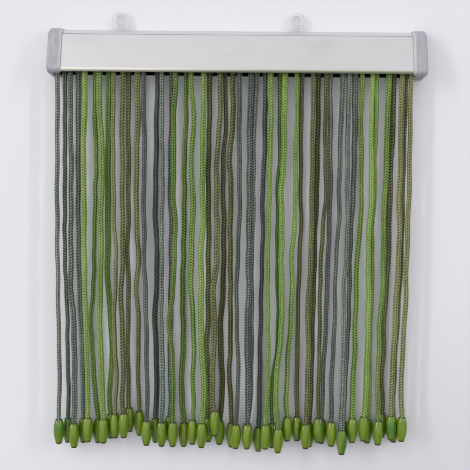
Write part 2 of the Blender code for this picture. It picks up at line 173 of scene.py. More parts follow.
BEND_STATIONS = tuple(drop * MM for drop in (29, 55, 82, 110, 137, 165, 192, 219, 240, 262, 285))

# Beads
BEAD_LENGTH = 20.4 * MM
BEAD_FOOT = 4.2 * MM
BEAD_SIDES = 28
BEAD_LEANS = (0.9, 1.0)  # degrees at most, sideways and forwards

# One row for each cord, from left to right, in millimetres: how far right it lies at each of
# STATIONS, then its bead's place across, its lower end's drop and its depth, then the cord's row.
CORDS = (
    # 29     110     165     219     262     bead    end  depth  row
    (-143.0, -144.0, -144.0, -143.5, -143.0, -144.0, 320, 13.5, FRONT_ROW),
    (-138.0, -139.0, -139.5, -138.0, -138.0, -138.5, 322, 5.0, BACK_ROW),
    (-132.0, -132.5, -133.0, -131.0, -130.5, -131.5, 323, 14.0, FRONT_ROW),
    (-127.0, -128.0, -128.0, -126.5, -126.0, -125.5, 322, 5.0, BACK_ROW),
    (-120.5, -122.0, -122.0, -121.0, -120.0, -120.0, 318, 14.0, FRONT_ROW),
    (-113.5, -114.0, -116.0, -118.0, -115.5, -113.0, 322, 5.0, BACK_ROW),
    (-109.5, -108.5, -109.0, -109.5, -108.5, -107.0, 319, 14.0, FRONT_ROW),
    (-102.5, -104.0, -104.5, -102.5, -103.0, -102.5, 318, 5.0, BACK_ROW),
    (-97.5, -97.5, -96.5, -99.0, -97.5, -97.5, 315, 12.5, FRONT_ROW),
    (-91.0, -91.0, -91.5, -91.0, -91.0, -89.5, 313, 17.0, FRONT_ROW),
    (-85.5, -86.0, -86.5, -86.5, -86.5, -87.0, 312, 5.5, BACK_ROW),
    (-79.0, -80.0, -79.5, -79.0, -78.5, -78.0, 314, 8.0, FRONT_ROW),
    (-74.0, -73.5, -73.5, -73.0, -71.5, -71.5, 320, 14.5, FRONT_ROW),
    (-64.5, -65.5, -64.0, -65.5, -64.0, -65.0, 321, 5.0, BACK_ROW),
    (-59.0, -59.5, -58.5, -59.0, -58.0, -59.0, 321, 14.0, FRONT_ROW),
    (-52.5, -53.0, -53.0, -53.5, -54.5, -53.0, 319, 5.0, BACK_ROW),
    (-48.5, -48.5, -48.5, -52.0, -49.5, -49.5, 321, 14.0, FRONT_ROW),
    (-40.5, -42.0, -42.0, -42.0, -42.5, -41.0, 324, 5.5, BACK_ROW),
    (-36.0, -35.0, -36.0, -34.5, -34.0, -33.5, 320, 10.5, FRONT_ROW),
    (-26.5, -26.0, -27.0, -27.0, -25.0, -25.5, 321, 15.0, FRONT_ROW),
    (-21.5, -21.5, -21.5, -21.5, -21.5, -21.0, 320, 5.0, BACK_ROW),
    (-15.0, -15.0, -15.5, -16.0, -16.0, -15.0, 311, 14.5, FRONT_ROW),
    (-11.0, -9.5, -10.0, -10.5, -10.0, -11.0, 322, 5.0, BACK_ROW),
    (-2.0, -4.0, -3.5, -3.0, -3.5, -1.5, 324, 5.0, BACK_ROW),
    (2.5, 3.0, 2.5, 2.5, 3.5, 2.5, 322, 14.0, FRONT_ROW),
    (10.0, 10.5, 10.5, 10.5, 11.5, 12.0, 322, 14.0, FRONT_ROW),
    (14.0, 14.5, 15.0, 14.5, 14.5, 12.0, 324, 5.0, BACK_ROW),
    (22.5, 21.5, 22.0, 22.0, 21.5, 21.5, 327, 6.0, BACK_ROW),
    (27.0, 27.0, 27.0, 28.0, 28.5, 27.0, 322, 13.5, FRONT_ROW),
    (35.0, 36.0, 34.0, 35.0, 33.5, 33.0, 324, 5.0, BACK_ROW),
    (39.0, 38.5, 37.5, 39.0, 36.0, 37.5, 325, 14.0, FRONT_ROW),
    (47.0, 46.5, 46.5, 45.5, 44.5, 45.0, 317, 8.5, FRONT_ROW),
    (52.5, 53.5, 53.0, 52.5, 52.5, 53.5, 318, 5.0, BACK_ROW),
    (59.5, 60.0, 60.0, 59.5, 60.0, 60.0, 321, 14.0, FRONT_ROW),
    (64.0, 65.0, 65.0, 64.5, 64.5, 63.5, 323, 5.0, BACK_ROW),
    (71.0, 72.0, 70.0, 69.5, 69.0, 70.5, 316, 13.5, FRONT_ROW),
    (75.5, 76.5, 76.5, 76.0, 75.0, 74.0, 320, 5.0, BACK_ROW),
    (84.5, 83.5, 81.0, 82.0, 80.5, 81.0, 319, 13.0, FRONT_ROW),
    (89.0, 90.0, 90.0, 90.5, 90.0, 89.5, 325, 15.5, FRONT_ROW),
    (95.5, 95.5, 93.5, 93.5, 94.0, 92.0, 322, 5.5, BACK_ROW),
    (99.5, 101.0, 99.0, 98.5, 98.0, 98.5, 316, 12.0, FRONT_ROW),
    (108.0, 107.5, 108.0, 108.0, 108.5, 107.5, 314, 13.5, FRONT_ROW),
    (113.0, 113.0, 112.5, 112.5, 112.5, 112.5, 319, 5.0, BACK_ROW),
    (120.0, 119.5, 119.5, 117.0, 117.0, 119.5, 317, 14.0, FRONT_ROW),
    (125.5, 125.0, 125.5, 123.5, 123.0, 124.0, 314, 5.0, BACK_ROW),
    (131.0, 132.0, 132.5, 131.0, 130.0, 130.0, 313, 13.0, FRONT_ROW),
    (134.5, 135.5, 136.0, 134.5, 134.0, 134.0, 318, 4.8, BACK_ROW),
    (138.5, 139.5, 139.0, 138.5, 137.5, 139.0, 314, 13.5, FRONT_ROW),
)

# How far each cord strays to the right of its line, in halves of a millimetre, at BEND_STATIONS
BENDS = (
    (0, 0, 0, 0, 0, 0, 0, 0, 0, 0, 0),
    (0, 0, 0, 0, 0, 0, 0, 0, -1, 0, 1),
    (-1, -1, 0, 0, 0, 0, -2, 0, 0, 0, 1),
    (0, 0, 0, 0, 0, 0, -1, -1, 0, 0, 0),
    (-1, -1, -2, 0, 0, 0, 0, 0, 0, 0, 1),
    (0, -1, 1, 0, 0, 1, 2, -1, -1, -2, -2),
    (0, 0, 3, 1, 0, 1, 0, 0, 0, 1, 0),
    (0, 0, 0, 0, 1, 0, -1, 1, 3, 2, -2),
    (-1, -2, -2, -1, -2, 0, 1, 2, 2, 3, 0),
    (1, -1, 0, 0, 1, 2, -1, 0, 2, 2, -2),
    (-2, -3, -2, -2, -2, -3, -1, -2, -3, -2, -1),
    (0, 1, 0, 0, 0, 2, -2, 1, 0, -1, 0),
    (0, 0, 1, -1, 0, 0, 2, 3, 2, 1, 2),
    (2, 1, 2, 1, 0, 1, 1, 0, 1, 0, 1),
    (-1, 0, 1, 2, 0, -1, -1, -1, 0, 0, 1),
    (1, 1, 0, 0, 2, 2, 2, 2, 3, 4, 4),
    (0, -3, -2, -3, 0, -1, 1, -2, 1, 0, 0),
    (0, 1, 0, 1, 1, 0, -1, 0, 1, -1, -2),
    (0, 4, -1, 1, 2, 1, 0, 2, 3, 1, 2),
    (1, 0, -1, -1, 1, -1, 1, 0, 0, 1, 2),
    (0, 0, -1, -1, 0, 0, 0, 0, -2, 0, 1),
    (4, 4, 0, 0, 1, 2, -3, 0, -1, -2, -3),
    (4, 5, 0, -1, 1, 2, 2, -1, -1, 1, 2),
    (-2, 0, -3, 1, 0, 0, 0, 0, 1, 0, 1),
    (0, 0, 0, 1, 1, 0, -1, 0, 1, 1, 1),
    (3, 1, 1, 1, 1, 1, 2, 0, 0, 0, 0),
    (4, 1, 0, 0, 0, -2, -1, 0, 0, 0, 2),
    (2, 2, 3, 1, 2, 1, 0, 0, 0, 1, 1),
    (0, 2, 1, 1, 0, 0, 0, 0, 0, 0, 0),
    (0, 0, 0, -3, 0, 2, 3, 3, 3, -1, -3),
    (-1, -1, 0, -3, 0, 1, 1, 0, 0, -1, -2),
    (2, 3, 2, 4, 3, 0, 2, 2, 0, 0, -2),
    (0, -1, -1, -1, 1, 0, 0, 0, 1, 0, 0),
    (3, 3, 3, 3, 3, 3, 1, 1, 3, 1, 1),
    (3, 3, 2, 2, 0, 0, 0, 0, 0, 0, 1),
    (1, 0, 0, 2, 0, 0, 0, 1, 2, 2, 0),
    (-1, 0, 0, 1, 0, 0, -1, 0, -1, -1, 0),
    (0, -1, -1, 0, 3, 2, 1, 0, 0, 0, 0),
    (1, 0, 0, 0, 1, 0, -3, -2, -2, -1, -1),
    (-1, 0, 0, 0, 0, 1, 2, 2, 0, -2, -1),
    (1, -1, 0, 0, 2, 0, 1, 1, 2, 1, 0),
    (0, 0, 2, 4, 1, 0, 2, 2, 1, 0, 1),
    (-2, -1, -2, 0, -2, 0, 1, 0, 0, 1, 1),
    (2, 1, 2, 1, 0, 1, 3, 2, 3, 2, 0),
    (0, 1, 0, 0, 0, 0, 0, 0, 2, 0, 2),
    (1, 0, 1, -1, 0, 0, -1, 0, 0, 0, 0),
    (1, 1, 0, 0, 0, 0, 0, 0, -1, -1, -2),
    (0, 0, 0, 0, 0, 0, 1, 0, 0, 0, -1),
)


class Value:
    """A number, colour or vector that a finish works out, held as the socket that gives it."""

    def __init__(self, finish, socket):
        self.finish = finish
        self.socket = socket

    def __add__(self, other):
        return self.finish.maths("ADD", self, other)

    __radd__ = __add__

    def __sub__(self, other):
        return self.finish.maths("SUBTRACT", self, other)

    def __rsub__(self, other):
        return self.finish.maths("SUBTRACT", other, self)

    def __mul__(self, other):
        return self.finish.maths("MULTIPLY", self, other)

    __rmul__ = __mul__


class Nodes:
    """A node tree, and short ways to add to it."""

    def __init__(self, tree):
        self.tree = tree

    def feed(self, socket, value):
        if isinstance(value, Value):
            self.tree.links.new(value.socket, socket)
        else:
            socket.default_value = value

    def node(self, kind, settings=None, inputs=None, output=0):
        """Adds a node: its settings first, then the values or links of its sockets."""
        made = self.tree.nodes.new(kind)
        for name, value in (settings or {}).items():
            setattr(made, name, value)
        for name, value in (inputs or {}).items():
            self.feed(made.inputs[name], value)
        return Value(self, made.outputs[output])

    def maths(self, operation, *values):
        return self.node("ShaderNodeMath", {"operation": operation}, dict(enumerate(values)))

    def between(self, value, low, high):
        """0 at low, 1 at high and clamped, with soft ends."""
        settings = {"interpolation_type": "SMOOTHSTEP"}
        return self.node("ShaderNodeMapRange", settings, {"Value": value, "From Min": low, "From Max": high})

    def mix(self, share, first, second):
        return self.node("ShaderNodeMix", {"data_type": "RGBA"}, {0: share, 6: first, 7: second}, output=2)

    def attribute(self, name):
        return self.node("ShaderNodeAttribute", {"attribute_name": name}, output=2)

    def coordinates(self, scale=(1, 1, 1)):
        """The piece's own coordinates, in metres, scaled."""
        place = self.node("ShaderNodeTexCoord", output=3)
        return self.node("ShaderNodeMapping", None, {"Vector": place, "Scale": scale})

    def place(self):
        """The piece's own coordinates, one by one."""
        split = {0: self.coordinates()}
        return [self.node("ShaderNodeSeparateXYZ", None, split, output=axis) for axis in range(3)]

    def noise(self, vector, scale, detail=2.0, roughness=0.5):
        inputs = {"Vector": vector, "Scale": scale, "Detail": detail, "Roughness": roughness}
        return self.node("ShaderNodeTexNoise", None, inputs)

    def bump(self, height, strength, distance):
        inputs = {"Height": height, "Strength": strength, "Distance": distance}
        return self.node("ShaderNodeBump", None, inputs)


class Finish(Nodes):
    """A material with one Principled shader and the nodes that feed it."""

    def __init__(self, name, constants=None):
        self.material = bpy.data.materials.new(name)
        self.material.use_nodes = True
        super().__init__(self.material.node_tree)
        self.shader = self.tree.nodes["Principled BSDF"]
        for socket, value in (constants or {}).items():
            self.shader.inputs[socket].default_value = value

    def wear(self, **sockets):
        """Feeds the shader's sockets and returns the finished material."""
        for words, value in sockets.items():
            self.feed(self.shader.inputs[words.replace("_", " ").title()], value)
        return self.material


def deselect():
    bpy.ops.object.select_all(action="DESELECT")


def hold(obj):
    """Makes an object the only selected one, and the active one."""
    deselect()
    obj.select_set(True)
    bpy.context.view_layer.objects.active = obj
    return obj


def settle(obj):
    """Puts an object's place, turn and scale into its mesh."""
    hold(obj)
    bpy.ops.object.transform_apply(location=True, rotation=True, scale=True)
    return obj


def apply_modifiers(obj):
    hold(obj)
    for modifier in list(obj.modifiers):
        bpy.ops.object.modifier_apply(modifier=modifier.name)
    return obj


def open_mesh(obj):
    """Opens a mesh in edit mode, all of it selected by its vertices."""
    hold(obj)
    bpy.ops.object.mode_set(mode="EDIT")
    bpy.ops.mesh.select_mode(type="VERT")
    bpy.ops.mesh.select_all(action="SELECT")


def close_mesh():
    bpy.ops.object.mode_set(mode="OBJECT")


def pick_faces(obj, wanted):
    """In edit mode, selects only the faces that pass a test."""
    bpy.ops.mesh.select_mode(type="FACE")
    bpy.ops.mesh.select_all(action="DESELECT")
    bm = bmesh.from_edit_mesh(obj.data)
    for face in bm.faces:
        face.select_set(wanted(face))
    bmesh.update_edit_mesh(obj.data)


def recalculate_normals(obj):
    open_mesh(obj)
    bpy.ops.mesh.remove_doubles(threshold=WELD)
    bpy.ops.mesh.normals_make_consistent(inside=False)
    close_mesh()


def finish_piece(obj, name, material, nodes=(), smooth=30):
    """Names a piece, dresses it and ties it to the frame."""
    obj.name = name
    obj.data.name = name
    obj.data.materials.clear()
    obj.data.materials.append(material)
    hold(obj)
    bpy.ops.object.shade_smooth_by_angle(angle=math.radians(smooth))
    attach(obj, "root")
    if nodes:
        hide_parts(*nodes)
    return obj


def rounded(corners, steps=8):
    """Points of an outline whose corners, rows of (across, up, radius), are rounded by arcs."""
    points = []
    for index, (across, up, radius) in enumerate(corners):
        here = Vector((across, up))
        if radius == 0:
            points.append(here)
            continue
        before = (Vector(corners[index - 1][:2]) - here).normalized()
        after = (Vector(corners[(index + 1) % len(corners)][:2]) - here).normalized()
        half = before.angle(after) / 2
        centre = here + (before + after).normalized() * (radius / math.sin(half))
        start = here + before * (radius / math.tan(half)) - centre
        end = here + after * (radius / math.tan(half)) - centre
        for step in range(steps + 1):
            spoke = start.lerp(end, step / steps).normalized() * radius
            points.append(centre + spoke)
    return points


def offset_corners(corners, distance):
    """The same corners with every side moved out by a distance. The outline runs clockwise."""
    moved = []
    count = len(corners)
    for index, (across, up, radius) in enumerate(corners):
        here = Vector((across, up))
        incoming = (here - Vector(corners[index - 1][:2])).normalized()
        outgoing = (Vector(corners[(index + 1) % count][:2]) - here).normalized()
        first = Vector((-incoming.y, incoming.x))
        second = Vector((-outgoing.y, outgoing.x))
        bisector = (first + second).normalized()
        corner = here + bisector * (distance / bisector.dot(first))
        moved.append((corner.x, corner.y, max(radius + distance, 0) if radius else 0))
    return moved


def flat_shape(outlines, thickness, edge=0.0):
    """A plate cut to closed outlines: the first is its rim and the others are holes."""
    curve = bpy.data.curves.new("outline", "CURVE")
    curve.dimensions = "2D"
    curve.fill_mode = "BOTH"
    curve.extrude = thickness / 2 - edge
    curve.bevel_depth = edge
    curve.bevel_resolution = 2
    curve.offset = -edge
    for outline in outlines:
        spline = curve.splines.new("POLY")
        spline.points.add(len(outline) - 1)
        spline.use_cyclic_u = True
        for point, (across, up) in zip(spline.points, outline):
            point.co = (across, up, 0, 1)
    obj = bpy.data.objects.new("outline", curve)
    bpy.context.scene.collection.objects.link(obj)
    hold(obj)
    bpy.ops.object.convert(target="MESH")
    return bpy.context.object


# A profile's (depth, height) becomes -Y and Z, and its thickness runs along X.
ALONG_RAIL = Matrix(((0, 0, -1), (-1, 0, 0), (0, 1, 0))).to_4x4()
# An outline's (across, height) becomes X and Z, and its thickness runs along Y.
UPRIGHT = Matrix(((1, 0, 0), (0, 0, -1), (0, 1, 0))).to_4x4()


def rail_envelope():
    """Corners of the rail's closed outer shape, clockwise from the lower edge of its back."""
    return [
        (0.0, RAIL_FOOT, 0),
        (0.0, RAIL_TOP, 0),
        (RAIL_TOP_DEPTH, RAIL_TOP, TOP_EDGE_RADIUS),
        (SHOULDER_DEPTH, FACE_TOP, SHOULDER_RADIUS),
        (FACE_DEPTH, LIP_UNDERSIDE, ROLL_RADIUS),
    ]


def face_depth_at(height):
    share = (FACE_TOP - height) / (FACE_TOP - LIP_UNDERSIDE)
    return SHOULDER_DEPTH + (FACE_DEPTH - SHOULDER_DEPTH) * share


def boolean(target, other, operation="DIFFERENCE"):
    modifier = target.modifiers.new("cut", "BOOLEAN")
    modifier.operation = operation
    modifier.solver = "EXACT"
    modifier.object = other
    apply_modifiers(target)
    bpy.data.objects.remove(other, do_unlink=True)


def block(low, high):
    """A box between two corners, to cut with."""
    low = Vector(low)
    high = Vector(high)
    deselect()
    bpy.ops.mesh.primitive_cube_add(size=1, location=(low + high) / 2)
    obj = bpy.context.object
    obj.scale = high - low
    return settle(obj)


def rail_outline():
    """The extrusion's section: the outer skin, a groove under the shoulder, lips and inner ledges."""
    envelope = rail_envelope()
    outer = rounded(envelope, OUTER_ARC_STEPS)
    roll_start = -(OUTER_ARC_STEPS + 1)
    upper = outer[:roll_start]
    roll = outer[roll_start:]
    flank = 0.3 * GROOVE_WIDTH
    groove = [
        Vector((face_depth_at(GROOVE_TOP), GROOVE_TOP)),
        Vector((face_depth_at(GROOVE_TOP) - GROOVE_DEPTH, GROOVE_TOP - flank)),
        Vector((face_depth_at(GROOVE_LOW) - GROOVE_DEPTH, GROOVE_LOW + flank)),
        Vector((face_depth_at(GROOVE_LOW), GROOVE_LOW)),
    ]
    ledge_low = LEDGE_TOP - LEDGE_THICKNESS
    inner_wall = RAIL_WALL * math.hypot(1, FACE_LEAN)
    inner = rounded(offset_corners(envelope, -RAIL_WALL), INNER_ARC_STEPS)
    inner_roll_start = -(INNER_ARC_STEPS + 1)
    inner_roll = inner[inner_roll_start:]
    front_ledge = [
        Vector((face_depth_at(ledge_low) - inner_wall, ledge_low)),
        Vector((SLIT_FRONT_DEPTH, ledge_low)),
        Vector((SLIT_FRONT_DEPTH, LEDGE_TOP)),
        Vector((face_depth_at(LEDGE_TOP) - inner_wall, LEDGE_TOP)),
    ]
    back_ledge = [
        Vector((RAIL_WALL, LEDGE_TOP)),
        Vector((SLIT_BACK_DEPTH, LEDGE_TOP)),
        Vector((SLIT_BACK_DEPTH, ledge_low)),
        Vector((RAIL_WALL, ledge_low)),
    ]
    lip = [Vector((LIP_END_DEPTH, LIP_UNDERSIDE)), Vector((LIP_END_DEPTH, LIP_UNDERSIDE + RAIL_WALL))]
    inner_top = inner[1:inner_roll_start][::-1]
    foot = [Vector((RAIL_WALL, RAIL_FOOT))]
    return upper + groove + roll + lip + inner_roll[::-1] + front_ledge + inner_top + back_ledge + foot


def make_rail(material):
    rail = flat_shape([rail_outline()], RAIL_LENGTH)
    rail.matrix_world = ALONG_RAIL
    settle(rail)
    for side in ("left", "right"):
        low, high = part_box(f"tab_{side}")
        centre = (low.x + high.x) / 2
        half = TAB_WIDTH / 2 + CAP_CLEARANCE
        slit_low = (centre - half, low.y - CAP_CLEARANCE, RAIL_TOP - 2 * RAIL_WALL)
        slit_high = (centre + half, -RAIL_WALL - TAB_SLIT_SETBACK, RAIL_TOP + RAIL_WALL)
        boolean(rail, block(slit_low, slit_high))
    recalculate_normals(rail)
    return finish_piece(rail, "rail_extrusion", material, ["rail"])


def draw_end(cap, start, rings):
    """Draws the face at one end of a cap on through rings of (place along, drop from the outline)."""
    open_mesh(cap)
    pick_faces(cap, lambda face: abs(face.calc_center_median().x - start) < NEAR)
    half_height = RAIL_TOP + CAP_CLEARANCE + CAP_SKIRT
    depth = FACE_DEPTH + CAP_CLEARANCE + CAP_SKIRT
    place = start
    drop = 0
    for after, further in rings:
        bpy.ops.mesh.extrude_region_move(TRANSFORM_OT_translate={"value": (after - place, 0, 0)})
        slimmer = (depth - further) / (depth - drop)
        shorter = (half_height - further) / (half_height - drop)
        bpy.ops.transform.resize(value=(1, slimmer, shorter), center_override=(after, 0, 0))
        place = after
        drop = further
    close_mesh()


def make_cap(side, material):
    """A cap: a prism of the rail's profile, chamfered at its mouth, rounded at its end and hollowed."""
    sign = -1 if side == "left" else 1
    low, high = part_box(f"cap_{side}")
    outer_end = low.x if side == "left" else high.x
    mouth = outer_end - sign * CAP_WIDTH
    rim = mouth + sign * CAP_RIM
    corner = outer_end - sign * CAP_CORNER
    shell = offset_corners(rail_envelope(), CAP_CLEARANCE + CAP_SKIRT)
    shell[0] = (0.0, shell[0][1], 0)
    shell[1] = (0.0, shell[1][1], 0)
    cap = flat_shape([rounded(shell)], abs(corner - rim))
    cap.matrix_world = Matrix.Translation(((corner + rim) / 2, 0, 0)) @ ALONG_RAIL
    settle(cap)
    draw_end(cap, rim, [(mouth, CAP_RIM_DROP)])
    turns = [math.pi / 2 * (step + 1) / CAP_CORNER_STEPS for step in range(CAP_CORNER_STEPS)]
    bend = [(corner + sign * CAP_CORNER * math.sin(t), CAP_CORNER * (1 - math.cos(t))) for t in turns]
    draw_end(cap, corner, bend)

    pocket = offset_corners(rail_envelope(), CAP_CLEARANCE)
    pocket[0] = (-RAIL_WALL, pocket[0][1], 0)
    pocket[1] = (-RAIL_WALL, pocket[1][1], 0)
    plate = outer_end - sign * CAP_PLATE
    beyond = mouth - sign * CAP_WIDTH
    hollow = flat_shape([rounded(pocket)], abs(plate - beyond))
    hollow.matrix_world = Matrix.Translation(((plate + beyond) / 2, 0, 0)) @ ALONG_RAIL
    boolean(cap, settle(hollow))
    ends = sorted((mouth + sign * CAP_NOTCHES[side], beyond))
    notch_low = (ends[0], -LIP_END_DEPTH, 2 * RAIL_FOOT)
    notch_high = (ends[1], -RAIL_WALL, LIP_UNDERSIDE + RAIL_WALL)
    boolean(cap, block(notch_low, notch_high))
    recalculate_normals(cap)
    return finish_piece(cap, f"cap_{side}_moulding", material, [f"cap_{side}"])


def circle(centre, radius, steps):
    turns = [2 * math.pi * step / steps for step in range(steps)]
    return [Vector((centre.x + radius * math.cos(t), centre.y + radius * math.sin(t))) for t in turns]


def make_tab(side, material):
    """A clear ear with a softened edge and a raised ring round its hole."""
    low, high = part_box(f"tab_{side}")
    centre = (low.x + high.x) / 2
    ear = TAB_WIDTH / 2
    foot = TAB_FOOT_WIDTH / 2
    foot_top = low.z + TAB_FOOT_HEIGHT
    hole = Vector((centre, high.z - ear))
    outline = [Vector((centre - foot, low.z)), Vector((centre - foot, foot_top))]
    outline.append(Vector((centre - ear, foot_top)))
    for step in range(TAB_ARC_STEPS + 1):
        turn = math.pi * (1 - step / TAB_ARC_STEPS)
        outline.append(hole + Vector((math.cos(turn), math.sin(turn))) * ear)
    outline.append(Vector((centre + ear, foot_top)))
    outline += [Vector((centre + foot, foot_top)), Vector((centre + foot, low.z))]
    rim = circle(hole, TAB_HOLE_RADIUS, TAB_HOLE_STEPS)
    tab = flat_shape([outline, rim], high.y - low.y, TAB_EDGE)
    tab.matrix_world = Matrix.Translation((0, (low.y + high.y) / 2, 0)) @ UPRIGHT
    settle(tab)
    deselect()
    bpy.ops.mesh.primitive_torus_add(
        major_radius=TAB_RING_RADIUS,
        minor_radius=TAB_RING_THICKNESS,
        major_segments=48,
        minor_segments=10,
        location=(centre, low.y, hole.y),
        rotation=(math.pi / 2, 0, 0),
    )
    boolean(tab, settle(bpy.context.object), "UNION")
    recalculate_normals(tab)
    return finish_piece(tab, f"tab_{side}_moulding", material, [f"tab_{side}"])


def make_tape(material):
    """The tape that holds the cords: a thick webbing with rounded edges."""
    low = (TAPE_LEFT, -TAPE_FRONT_DEPTH, TAPE_UNDERSIDE)
    high = (TAPE_RIGHT, -TAPE_BACK_DEPTH, TAPE_UNDERSIDE + TAPE_THICKNESS)
    tape = block(low, high)
    soften = tape.modifiers.new("soften", "BEVEL")
    soften.width = TAPE_EDGE
    soften.segments = 4
    apply_modifiers(tape)
    return finish_piece(tape, "cord_tape", material, ["cords"])


def curve_value(knots, values, at):
    """A smooth curve through values at rising knots, read at one place."""
    last = len(knots) - 1
    at = min(max(at, knots[0]), knots[last])
    index = max(i for i in range(last) if knots[i] <= at)
    before = max(index - 1, 0)
    after = min(index + 2, last)
    span = knots[index + 1] - knots[index]
    share = (at - knots[index]) / span
    slope_in = (values[index + 1] - values[before]) / (knots[index + 1] - knots[before]) * span
    slope_out = (values[after] - values[index]) / (knots[after] - knots[index]) * span
    squared = share * share
    cubed = squared * share
    return (
        (2 * cubed - 3 * squared + 1) * values[index]
        + (cubed - 2 * squared + share) * slope_in
        + (3 * squared - 2 * cubed) * values[index + 1]
        + (cubed - squared) * slope_out
    )


class Cord:
    """One cord's row of CORDS and of BENDS in metres, with the route that the cord follows."""

    def __init__(self, number):
        row = CORDS[number - 1]
        places = [value * MM for value in row[:5]]
        self.bead_x = row[5] * MM
        self.bead_low = -row[6] * MM
        self.bead_depth = row[7] * MM
        self.row_depth = row[8]
        self.bead_top = self.bead_low + BEAD_LENGTH
        root = -TAPE_UNDERSIDE
        self.knots = [root - CORD_ROOT, *STATIONS, -self.bead_top, -self.bead_low]
        self.places = [places[0], *places, self.bead_x, self.bead_x]
        self.bends = [bend * MM / 2 for bend in BENDS[number - 1]] + [0]

    def point(self, height):
        down = -height
        across = curve_value(self.knots, self.places, down)
        across += curve_value([*BEND_STATIONS, -self.bead_top], self.bends, down)
        start = STATIONS[0]
        fall = min(max((down - start) / (-self.bead_top - start), 0), 1)
        ease = fall * fall * (3 - 2 * fall)
        depth = self.row_depth + (self.bead_depth - self.row_depth) * ease
        return Vector((across, -depth, height))


def make_knit_cell(pitch):
    """One pitch of the knitted cord: raised legs that lean left and right in turn round a tube."""
    deselect()
    around = LEG_POINTS * KNIT_COLUMNS
    bpy.ops.mesh.primitive_circle_add(vertices=around, radius=CORD_RADIUS)
    cell = bpy.context.object
    open_mesh(cell)
    for lower, upper in zip(KNIT_RINGS, KNIT_RINGS[1:]):
        climb = (upper - lower) * pitch
        bpy.ops.mesh.extrude_region_move(TRANSFORM_OT_translate={"value": (0, 0, climb)})
    close_mesh()

    vertices = cell.data.vertices
    start = math.atan2(vertices[0].co.y, vertices[0].co.x)
    spokes = []
    for vertex in vertices:
        ring = vertex.index // around
        turn = math.atan2(vertex.co.y, vertex.co.x) - start
        spoke = round(turn / (2 * math.pi) * around) % around
        spokes.append(spoke)
        leg, step = divmod(spoke, LEG_POINTS)
        climbs = leg % 2 == 0
        up_leg = step / LEG_POINTS if climbs else 1 - step / LEG_POINTS
        scales = CREST if 0 < ring < len(KNIT_RINGS) - 1 else VALLEY
        side = 1 if climbs else 2
        scale = scales[side if step else 0]
        vertex.co.x *= scale * CORD_WIDTHS[0]
        vertex.co.y *= scale * CORD_WIDTHS[1]
        vertex.co.z += up_leg * KNIT_LEAN
    map_cell(cell.data, around, spokes)
    return cell


def map_cell(mesh, around, spokes):
    """Maps a cell: across is the share of the way round, up is the share of the pitch."""
    chart = mesh.uv_layers.new(name="knit")
    for polygon in mesh.polygons:
        shares = [spokes[index] / around for index in polygon.vertices]
        wraps = max(shares) - min(shares) > 0.5
        for loop, index, share in zip(polygon.loop_indices, polygon.vertices, shares):
            if wraps and share < 0.5:
                share += 1
            chart.data[loop].uv = (share, KNIT_RINGS[index // around])


def lay_route(cord, rng):
    """The cord's own line, with a slight waver and a slow twist."""
    top = TAPE_UNDERSIDE + CORD_ROOT
    low = cord.bead_low + BEAD_FOOT
    curve = bpy.data.curves.new("route", "CURVE")
    curve.dimensions = "3D"
    curve.resolution_u = 12
    spline = curve.splines.new("BEZIER")
    drop = cord.bead_top + NECK_LENGTH - top
    heights = [top + drop * step / ROUTE_POINTS for step in range(ROUTE_POINTS + 1)]
    heights += [cord.bead_top, low]
    spline.bezier_points.add(len(heights) - 1)
    phase = rng.uniform(0, 2 * math.pi)
    wavelength = rng.uniform(*WAVER_LENGTHS) * MM
    twist = rng.uniform(0, 2 * math.pi)
    drift = rng.uniform(-TWIST_DRIFT, TWIST_DRIFT)
    for index, (point, height) in enumerate(zip(spline.bezier_points, heights)):
        share = (top - height) / (top - cord.bead_top)
        waver = math.sin(math.pi * min(max(share, 0), 1)) ** 0.5
        turns = 2 * math.pi * height / wavelength
        place = cord.point(height)
        place.x += waver * WAVER_ACROSS * math.sin(phase + turns)
        place.y += waver * WAVER_DEPTH * math.sin(2 * phase + turns / WAVER_STRETCH)
        point.co = place
        point.handle_left_type = "AUTO"
        point.handle_right_type = "AUTO"
        point.tilt = twist + drift * share
        point.radius = NECK_SCALE if index > ROUTE_POINTS else 1.0
    route = bpy.data.objects.new("route", curve)
    bpy.context.scene.collection.objects.link(route)
    return route


def make_cord(number, materials):
    rng = random.Random(100 + number)
    cord = Cord(number)
    colour = COLOUR_NAMES[(number - 1) // CORDS_A_BLOCK % len(COLOUR_NAMES)]
    pitch = KNIT_PITCH[colour] * rng.uniform(0.95, 1.05)
    route = lay_route(cord, rng)
    knit = make_knit_cell(pitch)
    pitches = knit.modifiers.new("pitches", "ARRAY")
    pitches.fit_type = "FIT_CURVE"
    pitches.curve = route
    pitches.use_relative_offset = False
    pitches.use_constant_offset = True
    pitches.constant_offset_displace = (0, 0, pitch)
    pitches.use_merge_vertices = True
    pitches.merge_threshold = NEAR
    pitches.offset_v = 1.0
    along = knit.modifiers.new("along", "CURVE")
    along.object = route
    along.deform_axis = "POS_Z"
    apply_modifiers(knit)
    bpy.data.objects.remove(route, do_unlink=True)

    open_mesh(knit)
    bpy.ops.mesh.fill_holes(sides=LEG_POINTS * KNIT_COLUMNS)
    bpy.ops.mesh.normals_make_consistent(inside=False)
    close_mesh()
    shade = knit.data.attributes.new("shade", "FLOAT", "POINT")
    shade.data.foreach_set("value", [rng.random()] * len(knit.data.vertices))
    name = f"cord_{number:02d}_{colour}"
    return finish_piece(knit, name, materials[colour], ["cords"], smooth=180)


